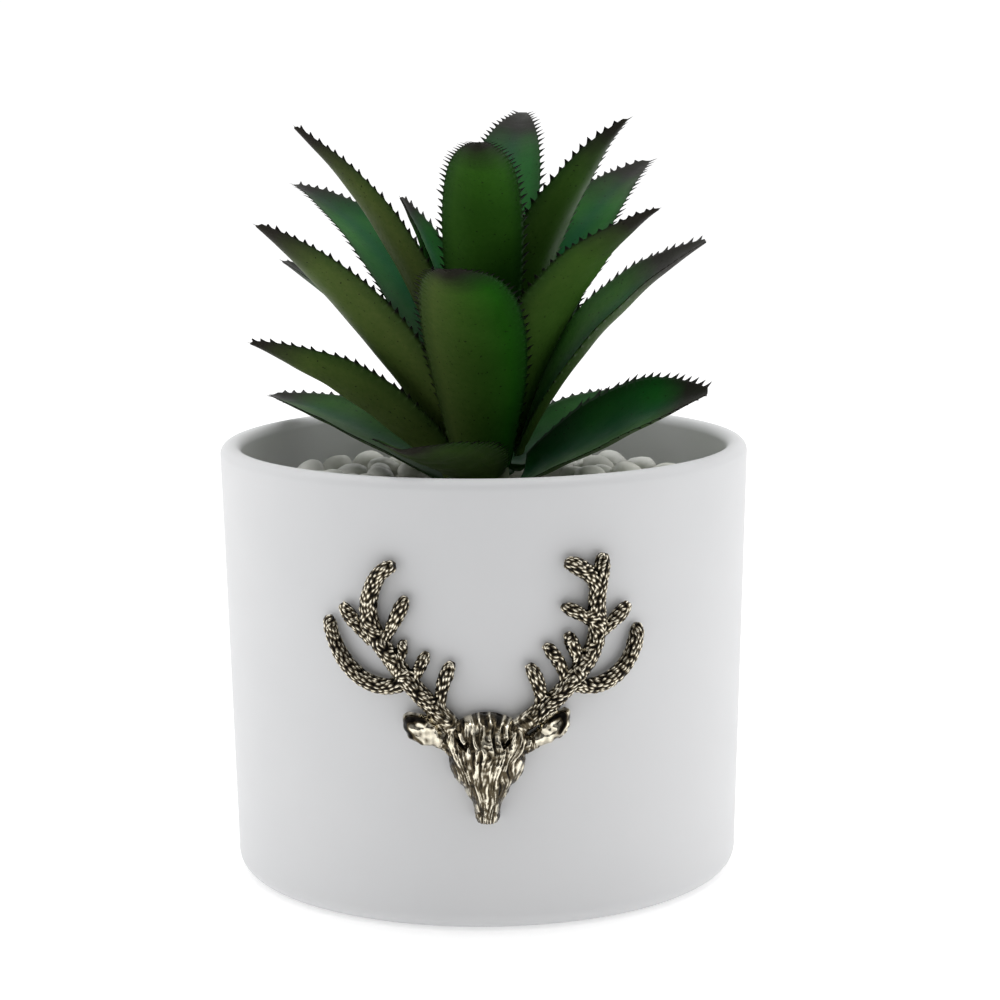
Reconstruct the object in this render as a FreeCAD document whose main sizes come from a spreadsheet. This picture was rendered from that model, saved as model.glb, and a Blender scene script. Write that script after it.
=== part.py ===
import FreeCAD, Part
import Sketcher
import math
import os
from collections import namedtuple

Vec = FreeCAD.Vector
Rot = FreeCAD.Rotation

# Artificial succulent in a ceramic pot, millimetres, +Z up.
# The origin is the centre of the pot's underside and the stag's head faces -Y.

SIZES = {
    # pot: a slightly tapered white ceramic cylinder with a full-round rim
    "pot_high": 98.2,
    "pot_rim_radius": 60.0,
    "pot_base_radius": 57.5,
    "pot_wall": 4.8,
    "pot_floor": 6.0,
    "pot_rim_round": 2.3,
    "pot_base_round": 3.9,
    # foam plug that holds the plant, up to the underside of the pebbles
    "foam_top": 79.0,
    "foam_gap": 0.3,
    "foam_bore_floor": 14.0,
    # plastic pick pushed into the foam, with a collar that rests on it
    "pick_radius": 3.5,
    "pick_bottom": 16.0,
    "pick_top": 82.8,
    "pick_bore_floor": 24.0,
    "pick_clearance": 0.06,
    "pick_tip_radius": 1.2,
    "pick_tip_high": 8.0,
    "collar_radius": 6.2,
    "collar_bottom": 79.2,
    "collar_high": 1.8,
    # steel wire held tight in the pick; the rosette turns on its upper end
    "wire_radius": 1.75,
    "wire_top": 101.0,
    "wire_clearance": 0.05,
    "wire_end_gap": 0.3,
    # moulded crown that the leaves plug into
    "crown_bottom": 83.0,
    "crown_bottom_radius": 6.4,
    "crown_top": 109.4,
    "crown_top_radius": 3.9,
    "crown_round": 1.2,
    # leaf blade and the peg at its root
    "leaf_middle": 1.7,
    "leaf_channel": 0.16,
    "leaf_root_share": 0.55,
    "leaf_widest_at": 0.45,
    "leaf_tip_wide": 0.7,
    "peg_radius": 1.1,
    "peg_end_radius": 2.5,
    "peg_slope": 0.5,
    # pebbles
    "pebble_long": 4.2,
    "pebble_wide": 3.5,
    "pebble_thick": 2.7,
    "pebble_pitch": 8.9,
    # badge: the cast stag's head on the front
    "badge_bottom": 25.3,
    "badge_off": 0.8,
    "badge_across": 0.45,
    "glue_wide": 11.0,
    "glue_bottom": 36.0,
    "glue_high": 10.0,
}

# Each leaf: the direction it grows in seen from above (azimuth), how steeply it leaves
# the crown (rise), how far it bends outward over its length (bend), a twist about its own
# axis (lean), and where its root sits (height above the base, radius from the axis).
Leaf = namedtuple("Leaf", "azimuth rise bend length lean width height radius")

LEAVES = [
    # low, spreading leaves
    Leaf(azimuth=-107, rise=21, bend=10, length=54, lean=1, width=26, height=89.4, radius=8.0),
    Leaf(azimuth=-32, rise=30, bend=10, length=52, lean=29, width=27, height=90.0, radius=11.0),
    Leaf(azimuth=38, rise=27, bend=14, length=44, lean=0, width=21, height=90.5, radius=8.5),
    Leaf(azimuth=86, rise=25, bend=12, length=50, lean=6, width=22, height=87.8, radius=8.3),
    Leaf(azimuth=145, rise=24, bend=14, length=58, lean=-3, width=22, height=87.2, radius=9.0),
    Leaf(azimuth=185, rise=48, bend=28, length=57, lean=24, width=22.5, height=89.6, radius=7.8),
    # middle leaves
    Leaf(azimuth=113, rise=47, bend=26, length=58, lean=1, width=21, height=92.0, radius=7.5),
    Leaf(azimuth=145, rise=58, bend=36, length=67, lean=9, width=20, height=94.6, radius=7.2),
    Leaf(azimuth=198, rise=61, bend=24, length=71, lean=14, width=23.5, height=96.6, radius=8.6),
    Leaf(azimuth=-17.9, rise=66.1, bend=37, length=66, lean=23.2, width=23.5, height=95.7, radius=8.9),
    Leaf(azimuth=63, rise=57, bend=32, length=60, lean=2, width=21, height=95.3, radius=6.8),
    Leaf(azimuth=-93.4, rise=80, bend=71, length=74.5, lean=-5, width=23, height=92.9, radius=10.2),
    # upper, steep leaves
    Leaf(azimuth=-50, rise=74, bend=49, length=76, lean=5, width=21, height=97.2, radius=8.4),
    Leaf(azimuth=138, rise=73, bend=55, length=80, lean=0, width=22.5, height=99.4, radius=7.2),
    Leaf(azimuth=47, rise=69, bend=48, length=83, lean=5, width=21.5, height=102.3, radius=6.2),
    Leaf(azimuth=199, rise=80, bend=39, length=80, lean=3, width=19, height=102.8, radius=6.6),
    Leaf(azimuth=-87, rise=87, bend=80, length=89, lean=-4, width=17.8, height=108.0, radius=6.5),
    Leaf(azimuth=-25, rise=84, bend=45, length=76, lean=-18, width=17, height=106.6, radius=5.8),
    Leaf(azimuth=145, rise=89, bend=31, length=47, lean=20, width=19, height=109.0, radius=7.8),
    Leaf(azimuth=74, rise=84, bend=72, length=89, lean=8, width=18, height=108.6, radius=5.6),
    # two young leaves standing on top of the crown
    Leaf(azimuth=-31, rise=88, bend=22, length=42, lean=0, width=13, height=110.2, radius=2.6),
    Leaf(azimuth=176, rise=89, bend=12, length=38, lean=0, width=12, height=110.2, radius=2.6),
]
YOUNG_LEAVES = 2
LEAF_STATIONS = (0.0, 0.12, 0.27, 0.45, 0.62, 0.77, 0.89, 1.0)

# Pebble rings from the stem outward, and the looser stones that lie on them.
LOWER_RINGS = (13.5, 22.6, 31.7, 40.8, 49.9)
UPPER_RINGS = ((27.2, 14), (36.3, 20), (45.4, 27))

# Antler branches: points (across, up, radius) from the middle of the muzzle's lower edge.
ANTLER_LEFT = {
    "beam": [(-4.4, 17.6, 2.2), (-7.8, 21.3, 2.0), (-12.3, 25.8, 1.9), (-16.7, 30.6, 1.9),
             (-20.5, 35.6, 1.9), (-23.7, 40.6, 1.9), (-24.7, 45.7, 1.85), (-23.7, 50.2, 1.75),
             (-21.9, 53.2, 1.6), (-19.9, 54.5, 1.4)],
    "outer": [(-16, 30.2, 1.5), (-19, 29, 1.6), (-22.7, 28.8, 1.7), (-27.3, 30.8, 1.7), (-30.8, 34.8, 1.6),
              (-32.7, 39.3, 1.45), (-33.3, 42, 1.2)],
    "side": [(-23.9, 38.4, 1.5), (-27.7, 42.1, 1.45), (-30, 45.1, 1.1)],
    "upper": [(-21.9, 38.2, 1.5), (-19.2, 42.9, 1.4), (-17.1, 47.5, 1.1)],
    "middle": [(-19.3, 32.4, 1.3), (-18, 35.6, 1.2), (-17.5, 38.2, 0.9)],
    "lower": [(-16, 29.4, 1.4), (-14.2, 32.8, 1.3), (-12.7, 35.8, 1.0)],
    "brow": [(-9.6, 23.2, 1.6), (-9.2, 29.2, 1.4), (-7.5, 33.8, 1.1)],
}
ANTLER_RIGHT = {
    "beam": [(4.4, 17.6, 2.2), (8.2, 21.5, 2.0), (12.4, 24.5, 2.0), (16.3, 28, 1.9),
             (19.8, 32, 1.9), (22.5, 36.5, 1.9), (23.5, 41.3, 1.9), (23.3, 46.1, 1.85),
             (24, 51, 1.7), (24.6, 55.7, 1.35)],
    "fork": [(23.5, 49.4, 1.7), (20.9, 53.3, 1.75), (17.8, 55, 1.5)],
    "side": [(23.4, 39.4, 1.5), (27.1, 42.1, 1.45), (29.6, 44.7, 1.2)],
    "outer": [(17, 29.6, 1.5), (20, 28.6, 1.6), (23.6, 28.5, 1.7), (27.5, 30.3, 1.7),
              (30.6, 34, 1.6), (32, 39.8, 1.25)],
    "upper": [(23.2, 41.2, 1.5), (19.8, 44.1, 1.4), (16.7, 45.6, 1.1)],
    "middle": [(19.6, 31.8, 1.5), (18.6, 36.5, 1.45), (17.4, 39.3, 1.2)],
    "lower": [(16.6, 28.8, 1.5), (15, 34.4, 1.35), (12.9, 37.3, 1.1)],
    "brow": [(11.3, 23.9, 1.7), (11, 29.2, 1.45), (9.3, 33.1, 1.15)],
}
EARS = {
    "left": [(-6.6, 16.2, 1.6), (-9.4, 17.7, 1.9), (-11.9, 19, 2.6), (-14.3, 20.5, 3.1), (-16, 21.8, 1.9)],
    "right": [(6.6, 15.8, 1.6), (9.4, 17.1, 1.7), (12.2, 18.7, 2.1), (14.8, 20.8, 2.5), (16.4, 22.8, 1.4)],
}
# The head, from the muzzle up: (up, half width, depth in front of the pot).
HEAD = [(0, 2.4, 4.2), (2, 2.8, 5.2), (5.8, 3.4, 6.2), (9.8, 5.5, 7.0), (13.9, 7.9, 7.4),
        (17.2, 8.7, 7.0), (19.8, 8.2, 6.0), (21.8, 6.0, 4.6), (23, 3.2, 3.0), (23.5, 1.6, 2.2)]

doc = FreeCAD.newDocument("succulent_pot")
sheet = doc.addObject("Spreadsheet::Sheet", "sizes")


def fill_sheet():
    """One named cell for every driving dimension."""
    for row, (name, value) in enumerate(SIZES.items(), start=1):
        sheet.set(f"A{row}", name)
        sheet.set(f"B{row}", str(value))
        sheet.setAlias(f"B{row}", name)
    doc.recompute()


def size(name):
    """The value that the sheet holds under this alias."""
    return float(sheet.get(name))


def bind(thing, **expressions):
    """Ties properties to expressions of sheet cells, each written with its alias alone."""
    for prop, text in expressions.items():
        for alias in sorted(SIZES, key=len, reverse=True):
            text = text.replace("{" + alias + "}", f"sizes.{alias}")
        thing.setExpression(prop.replace("__", "."), text)


def new_body(label):
    body = doc.addObject("PartDesign::Body", label)
    body.Label = label
    return body


def origin_plane(body, role):
    return next(f for f in body.Origin.OriginFeatures if f.Role == role)


def round_sketch(body, name, height_cell, radius_text):
    """A circle about the body's Z axis, in the plane at a height."""
    sketch = body.newObject("Sketcher::SketchObject", name)
    sketch.AttachmentSupport = [(origin_plane(body, "XY_Plane"), "")]
    sketch.MapMode = "FlatFace"
    bind(sketch, AttachmentOffset__Base__z="{" + height_cell + "}")
    sketch.addGeometry(Part.Circle(Vec(0, 0, 0), Vec(0, 0, 1), 1.0), False)
    sketch.addConstraint(Sketcher.Constraint("Coincident", 0, 3, -1, 1))
    sketch.addConstraint(Sketcher.Constraint("Radius", 0, 1.0))
    sketch.renameConstraint(1, "radius")
    bind(sketch, Constraints__radius=radius_text)
    return sketch


def pad_up(body, name, sketch, length_text):
    pad = body.newObject("PartDesign::Pad", name)
    pad.Profile = sketch
    bind(pad, Length=length_text)
    return pad


def pocket_up(body, name, sketch, length_text):
    """A pocket that cuts upward from its sketch."""
    pocket = body.newObject("PartDesign::Pocket", name)
    pocket.Profile = sketch
    pocket.Reversed = True
    bind(pocket, Length=length_text)
    return pocket


def circle_edges(shape, height, radius):
    """Names of the circular edges at this height and radius."""
    found = []
    for number, edge in enumerate(shape.Edges, start=1):
        curve = edge.Curve
        if isinstance(curve, Part.Circle) and abs(curve.Center.z - height) < 0.01:
            if abs(curve.Radius - radius) < 0.01:
                found.append(f"Edge{number}")
    return found


def make_pot():
    """Tapered cup: an additive cone, a parallel hollow, then the rounded rim and foot."""
    body = new_body("pot")
    outside = body.newObject("PartDesign::AdditiveCone", "pot_outside")
    bind(outside, Radius1="{pot_base_radius}", Radius2="{pot_rim_radius}", Height="{pot_high}")
    hollow = body.newObject("PartDesign::SubtractiveCone", "pot_hollow")
    bind(hollow, Radius1="{pot_base_radius} - {pot_wall}", Radius2="{pot_rim_radius} - {pot_wall}",
         Height="{pot_high} - {pot_floor} + 0.001", Placement__Base__z="{pot_floor}")
    doc.recompute()
    rim = circle_edges(hollow.Shape, size("pot_high"), size("pot_rim_radius"))
    rim += circle_edges(hollow.Shape, size("pot_high"), size("pot_rim_radius") - size("pot_wall"))
    rounded = body.newObject("PartDesign::Fillet", "pot_rim_fillet")
    rounded.Base = (hollow, rim)
    bind(rounded, Radius="{pot_rim_round}")
    doc.recompute()
    foot = body.newObject("PartDesign::Fillet", "pot_foot_fillet")
    foot.Base = (rounded, circle_edges(rounded.Shape, 0, size("pot_base_radius")))
    bind(foot, Radius="{pot_base_round}")
    body.Tip = foot
    return body


def make_foam():
    """Foam plug that fills the pot below the pebbles, bored for the pick."""
    body = new_body("foam_plug")
    plug = body.newObject("PartDesign::AdditiveCone", "foam_block")
    slope = "({pot_rim_radius} - {pot_base_radius}) / {pot_high}"
    bind(plug, Radius1="{pot_base_radius} - {pot_wall} - {foam_gap}",
         Radius2="{pot_base_radius} - {pot_wall} - {foam_gap} + ({foam_top} - {pot_floor}) * " + slope,
         Height="{foam_top} - {pot_floor}", Placement__Base__z="{pot_floor}")
    circle = round_sketch(body, "foam_bore_circle", "foam_bore_floor", "{pick_radius} + {pick_clearance}")
    pocket_up(body, "foam_bore", circle, "{foam_top} - {foam_bore_floor}")
    return body


def make_pick():
    """Plastic pick: a hollow shank with a tapered point and a collar."""
    body = new_body("stem_pick")
    point = body.newObject("PartDesign::AdditiveCone", "pick_point")
    bind(point, Radius1="{pick_tip_radius}", Radius2="{pick_radius}", Height="{pick_tip_high}",
         Placement__Base__z="{pick_bottom}")
    shank = body.newObject("PartDesign::AdditiveCylinder", "pick_shank")
    bind(shank, Radius="{pick_radius}", Height="{pick_top} - {pick_bottom} - {pick_tip_high}",
         Placement__Base__z="{pick_bottom} + {pick_tip_high}")
    collar = body.newObject("PartDesign::AdditiveCylinder", "pick_collar")
    bind(collar, Radius="{collar_radius}", Height="{collar_high}", Placement__Base__z="{collar_bottom}")
    circle = round_sketch(body, "pick_bore_circle", "pick_bore_floor", "{wire_radius}")
    pocket_up(body, "pick_bore", circle, "{pick_top} - {pick_bore_floor}")
    return body


def make_wire():
    """Straight steel wire with chamfered ends."""
    body = new_body("stem_wire")
    circle = round_sketch(body, "wire_circle", "pick_bore_floor", "{wire_radius}")
    pad = pad_up(body, "wire_length", circle, "{wire_top} - {pick_bore_floor}")
    doc.recompute()
    ends = [f"Edge{n}" for n, e in enumerate(pad.Shape.Edges, start=1) if isinstance(e.Curve, Part.Circle)]
    chamfer = body.newObject("PartDesign::Chamfer", "wire_ends")
    chamfer.Base = (pad, ends)
    bind(chamfer, Size="{wire_radius} / 5")
    body.Tip = chamfer
    return body


def leaf_width(leaf, share):
    """Width of the blade at a share of its length: narrow root, full middle, pointed tip."""
    widest = size("leaf_widest_at")
    root = size("leaf_root_share")
    if share < widest:
        part = root + (1 - root) * math.sin(math.pi / 2 * share / widest)
    else:
        part = 1 - ((share - widest) / (1 - widest)) ** 2
    return max(leaf.width * part, size("leaf_tip_wide"))


def leaf_section(leaf, share):
    """Crescent across the blade: two arcs that meet in the sharp margins."""
    bend = math.radians(leaf.bend)
    arc_radius = leaf.length / bend
    angle = bend * share
    middle = Vec(arc_radius * math.sin(angle), 0, -arc_radius * (1 - math.cos(angle)))
    up = Vec(math.sin(angle), 0, math.cos(angle))
    half = leaf_width(leaf, share) / 2
    rise = size("leaf_channel") * 2 * half
    thick = size("leaf_middle") * min(1, 0.25 + 1.5 * half / leaf.width)
    left = middle + Vec(0, half, 0) + up * rise
    right = middle - Vec(0, half, 0) + up * rise
    outer = Part.Arc(left, middle - up * (thick / 2), right).toShape()
    inner = Part.Arc(right, middle + up * (thick / 2), left).toShape()
    return Part.Wire([outer, inner])


def leaf_placement(leaf):
    turn = Rot(Vec(0, 0, 1), leaf.azimuth) * Rot(Vec(0, 1, 0), -leaf.rise) * Rot(Vec(1, 0, 0), leaf.lean)
    azimuth = math.radians(leaf.azimuth)
    root = Vec(leaf.radius * math.cos(azimuth), leaf.radius * math.sin(azimuth), leaf.height)
    return FreeCAD.Placement(root, turn)


def leaf_peg(leaf, young, grow=0.0):
    """The round peg at a leaf's root, in the row frame: it slopes down toward the axis,
    and a young leaf's peg stands straight on top of the crown."""
    azimuth = math.radians(leaf.azimuth)
    outward = Vec(math.cos(azimuth), math.sin(azimuth), 0)
    radius = size("peg_radius") + grow
    if young:
        start = outward * leaf.radius + Vec(0, 0, leaf.height + 0.6)
        return Part.makeCylinder(radius, leaf.height + 0.6 - size("crown_top") + 1.6, start, Vec(0, 0, -1))
    steep = math.radians(leaf.rise)
    along = outward * math.cos(steep) + Vec(0, 0, math.sin(steep))
    start = outward * leaf.radius + Vec(0, 0, leaf.height) + along * 1.2
    end = outward * size("peg_end_radius")
    end.z = leaf.height - size("peg_slope") * (leaf.radius - size("peg_end_radius"))
    return Part.makeCylinder(radius, (end - start).Length, start, end - start)


def make_leaf(number, leaf):
    """One blade lofted through its crescents, fused with its peg."""
    young = number > len(LEAVES) - YOUNG_LEAVES
    blade = Part.makeLoft([leaf_section(leaf, share) for share in LEAF_STATIONS], True, False)
    place = leaf_placement(leaf)
    peg = leaf_peg(leaf, young)
    peg = peg.transformed(place.inverse().toMatrix(), True)
    feature = doc.addObject("Part::Feature", f"leaf_{number:02d}")
    feature.Shape = blade.fuse(peg).removeSplitter()
    feature.Placement = place
    feature.Label = f"leaf_{number:02d}"
    return feature


def make_crown():
    """Tapered core with a running fit on the wire and a socket for every leaf's peg."""
    core = doc.addObject("Part::Cone", "crown_blank")
    bind(core, Radius1="{crown_bottom_radius}", Radius2="{crown_top_radius}",
         Height="{crown_top} - {crown_bottom}", Placement__Base__z="{crown_bottom}")
    bore = doc.addObject("Part::Cylinder", "crown_bore")
    bind(bore, Radius="{wire_radius} + {wire_clearance}",
         Height="{wire_top} - {crown_bottom} + {wire_end_gap}",
         Placement__Base__z="{crown_bottom}")
    sockets = doc.addObject("Part::Feature", "crown_sockets")
    last = len(LEAVES) - YOUNG_LEAVES
    sockets.Shape = Part.makeCompound([leaf_peg(leaf, n > last) for n, leaf in enumerate(LEAVES, start=1)])
    bored = doc.addObject("Part::Cut", "crown_bored")
    bored.Base = core
    bored.Tool = bore
    crown = doc.addObject("Part::Cut", "crown_core")
    crown.Base = bored
    crown.Tool = sockets
    crown.Label = "crown_core"
    return crown


def pebble(name, radius, azimuth, height, number):
    """One flattened stone, turned by its number so that neighbours differ."""
    stone = doc.addObject("Part::Ellipsoid", name)
    bind(stone, Radius1="{pebble_thick}", Radius2="{pebble_long}", Radius3="{pebble_wide}")
    stone.Angle1 = -90
    stone.Angle2 = 90
    place = Vec(radius * math.cos(azimuth), radius * math.sin(azimuth), height)
    tilt = Rot(Vec(math.cos(number * 2.4), math.sin(number * 2.4), 0), 5)
    stone.Placement = FreeCAD.Placement(place, tilt * Rot(Vec(0, 0, 1), math.degrees(azimuth) + 90))
    return stone


def make_pebbles():
    """A bed of stones in rings on the foam, and a looser second layer on them."""
    lift = size("pebble_thick")
    bed = []
    for ring, radius in enumerate(LOWER_RINGS):
        count = int(2 * math.pi * radius / size("pebble_pitch"))
        for n in range(count):
            azimuth = 2 * math.pi * (n + 0.5 * (ring % 2)) / count
            bed.append(pebble(f"bed_{ring}_{n}", radius, azimuth, size("foam_top") + lift * 1.02, n + ring))
    top = []
    for ring, (radius, count) in enumerate(UPPER_RINGS):
        for n in range(count):
            azimuth = 2 * math.pi * (n + 0.3 * ring) / count
            top.append(pebble(f"top_{ring}_{n}", radius, azimuth, size("foam_top") + lift * 3.1, n + ring))
    for label, stones in (("pebble_bed", bed), ("pebbles_loose", top)):
        group = doc.addObject("Part::Compound", label)
        group.Links = stones
        group.Label = label
    return [doc.getObject("pebble_bed"), doc.getObject("pebbles_loose")]


def pot_radius(height):
    """Outside radius of the pot at a height."""
    base = size("pot_base_radius")
    return base + (size("pot_rim_radius") - base) * height / size("pot_high")


def on_pot(across, up, off):
    """The point a distance off the pot's front, at a place on the badge."""
    height = size("badge_bottom") + up
    reach = pot_radius(height) + size("badge_off") + off
    side = size("badge_across") + across
    return Vec(side, -math.sqrt(reach * reach - side * side), height)


def branch(points):
    """A tapered round branch through its points, with a rounded end."""
    middles = [on_pot(across, up, 0.7 * radius) for across, up, radius in points]
    radii = [radius for across, up, radius in points]
    path = Part.BSplineCurve()
    path.interpolate(middles)
    rings = []
    for middle, radius in zip(middles, radii):
        along = path.tangent(path.parameter(middle))[0]
        rings.append(Part.Wire(Part.Circle(middle, along, radius).toShape()))
    last, along = middles[-1], path.tangent(path.LastParameter)[0]
    rings.append(Part.Wire(Part.Circle(last + along * (0.75 * radii[-1]), along, 0.62 * radii[-1]).toShape()))
    return Part.makeLoft(rings, True, False)


def head_shape():
    """The head lofted through flattened ovals, level by level."""
    rings = []
    for up, half, depth in HEAD:
        squash = FreeCAD.Matrix()
        squash.scale(half, depth, 1)
        squash.move(on_pot(0, up, 0))
        oval = Part.Circle(Vec(0, 0, 0), Vec(0, 0, 1), 1).toShape().transformGeometry(squash)
        rings.append(Part.Wire(oval))
    return Part.makeLoft(rings, True, False)


def pot_front(label, off_text):
    """A cone that stands a distance off the pot's outside."""
    cone = doc.addObject("Part::Cone", label)
    bind(cone, Radius1="{pot_base_radius} + " + off_text, Radius2="{pot_rim_radius} + " + off_text,
         Height="{pot_high}")
    return cone


def make_badge():
    """Cast stag's head, cut off behind to the curve of the pot."""
    cast = head_shape()
    branches = list(ANTLER_LEFT.values()) + list(ANTLER_RIGHT.values()) + list(EARS.values())
    cast = cast.multiFuse([branch(points) for points in branches])
    solid = doc.addObject("Part::Feature", "badge_cast")
    solid.Shape = cast
    badge = doc.addObject("Part::Cut", "stag_badge")
    badge.Base = solid
    badge.Tool = pot_front("badge_back", "{badge_off}")
    badge.Label = "stag_badge"
    return badge


def make_glue():
    """The pad of glue between the badge's head and the pot."""
    shell = doc.addObject("Part::Cut", "glue_shell")
    shell.Base = pot_front("glue_front", "{badge_off}")
    shell.Tool = pot_front("glue_back", "0")
    block = doc.addObject("Part::Box", "glue_block")
    bind(block, Length="{glue_wide}", Width="{pot_rim_radius} + 5", Height="{glue_high}",
         Placement__Base__x="-{glue_wide} / 2", Placement__Base__y="-{pot_rim_radius} - 5",
         Placement__Base__z="{glue_bottom}")
    glue = doc.addObject("Part::Common", "badge_glue")
    glue.Base = shell
    glue.Tool = block
    glue.Label = "badge_glue"
    return glue


def check_document(parts):
    """Stops unless every object recomputed and every sub-part is a valid shape."""
    for thing in doc.Objects:
        if "Invalid" in thing.State or "Error" in thing.State:
            raise RuntimeError(f"{thing.Name} did not recompute: {thing.State}")
    for part in parts:
        if part.Shape.isNull() or not part.Shape.isValid():
            raise RuntimeError(f"{part.Label} has no valid shape")
        if not part.Shape.Solids:
            raise RuntimeError(f"{part.Label} holds no solid")


def main():
    fill_sheet()
    parts = [make_pot(), make_foam(), make_pick(), make_wire(), make_crown()]
    parts += [make_leaf(number, leaf) for number, leaf in enumerate(LEAVES, start=1)]
    parts += make_pebbles()
    parts += [make_badge(), make_glue()]
    doc.recompute()
    check_document(parts)
    os.makedirs("parts", exist_ok=True)
    for part in parts:
        part.Shape.exportStep(f"parts/{part.Label}.step")
        print(part.Label, len(part.Shape.Solids), round(part.Shape.Volume))


main()
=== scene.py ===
import math

import bmesh
import bpy
import numpy as np
from mathutils import Matrix, Vector, noise
from mathutils.bvhtree import BVHTree
from mathutils.kdtree import KDTree


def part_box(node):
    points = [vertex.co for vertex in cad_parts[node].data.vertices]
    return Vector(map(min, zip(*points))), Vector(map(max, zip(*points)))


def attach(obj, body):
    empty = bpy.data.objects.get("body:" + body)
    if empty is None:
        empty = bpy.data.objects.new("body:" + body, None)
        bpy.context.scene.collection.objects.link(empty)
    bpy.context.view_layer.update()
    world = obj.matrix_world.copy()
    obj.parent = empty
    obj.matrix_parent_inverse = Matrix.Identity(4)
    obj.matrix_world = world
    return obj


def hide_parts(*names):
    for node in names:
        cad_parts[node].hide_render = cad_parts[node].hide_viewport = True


# Looks for an artificial succulent in a white ceramic pot with a cast stag's head.
# Metres, +Z up, the stag's head faces -Y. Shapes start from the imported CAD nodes.

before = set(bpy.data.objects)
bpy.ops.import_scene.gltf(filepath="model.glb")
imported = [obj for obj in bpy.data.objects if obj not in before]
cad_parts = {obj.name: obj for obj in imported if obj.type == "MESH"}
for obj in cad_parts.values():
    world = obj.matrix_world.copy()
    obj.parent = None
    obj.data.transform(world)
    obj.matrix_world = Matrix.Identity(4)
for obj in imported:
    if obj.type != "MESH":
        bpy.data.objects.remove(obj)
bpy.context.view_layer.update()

MM = 0.001

# Camera, at the photograph's angle.
CAMERA_PLACE = Vector((0.0036, -0.6366, 0.1920))
CAMERA_PITCH = math.radians(9.634)
CAMERA_ROLL = math.radians(-0.444)
CAMERA_LENS = 101.4

# Leaf detail.
STATION_STEP = 0.28 * MM
ACROSS = 8
TOOTH_PITCH = 2.45 * MM
TOOTH_HIGH = 1.50 * MM
RAY_REACH = 8 * MM
SHARP_EDGE = math.radians(112)

# The pot's lathe.
POT_STEP = 3 * MM
POT_AROUND = 256
POT_WAVE = 0.10 * MM

# Pebbles that fill the gaps between the CAD stones.
FILLER_TRIES = 2600
UPPER_FILL_INNER = 24 * MM

# The badge's mesh.
BADGE_VOXEL = 0.2 * MM

# How olive each leaf is: its middle, and how much more its -X half is than its +X half.
OLIVE = {"leaf_01": (0.55, 0.1), "leaf_02": (0.20, 0.3), "leaf_05": (0.45, 0.0),
         "leaf_06": (0.75, 0.1), "leaf_09": (0.75, 0.0), "leaf_10": (0.50, 0.0), "leaf_12": (0.40, 0.45),
         "leaf_13": (0.40, 0.1), "leaf_16": (0.95, 0.0), "leaf_17": (0.25, 0.05),
         "leaf_18": (0.35, 0.1)}

# How much further down the blade the dark stain of some tips reaches.
STAINED = {"leaf_10": 0.16, "leaf_20": 0.08, "leaf_02": 0.06, "leaf_13": 0.04, "leaf_15": 0.04}

LEAVES = sorted(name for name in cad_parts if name.startswith("leaf_"))


# ---------------------------------------------------------------- mesh helpers

def welded(node):
    """A bmesh copy of a CAD node with its split vertices joined."""
    bm = bmesh.new()
    bm.from_mesh(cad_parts[node].data)
    bmesh.ops.remove_doubles(bm, verts=bm.verts, dist=1e-6)
    bm.normal_update()
    return bm


def make_object(name, points, faces, materials, face_materials=None):
    """A smooth-shaded mesh object from plain lists."""
    mesh = bpy.data.meshes.new(name)
    mesh.from_pydata([tuple(p) for p in points], [], faces)
    for material in materials:
        mesh.materials.append(material)
    if face_materials is not None:
        mesh.polygons.foreach_set("material_index", np.array(face_materials, dtype=np.int32))
    mesh.polygons.foreach_set("use_smooth", np.ones(len(mesh.polygons), dtype=bool))
    mesh.update()
    obj = bpy.data.objects.new(name, mesh)
    bpy.context.scene.collection.objects.link(obj)
    return obj


def put_attribute(obj, name, values):
    attribute = obj.data.attributes.new(name, "FLOAT", "POINT")
    attribute.data.foreach_set("value", np.asarray(values, dtype=np.float32))


def vertex_array(mesh):
    points = np.zeros(len(mesh.vertices) * 3)
    mesh.vertices.foreach_get("co", points)
    return points.reshape(-1, 3)


def smooth_step(low, high, values):
    part = np.clip((values - low) / (high - low), 0, 1)
    return part * part * (3 - 2 * part)


# ------------------------------------------------------------ material helpers

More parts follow.
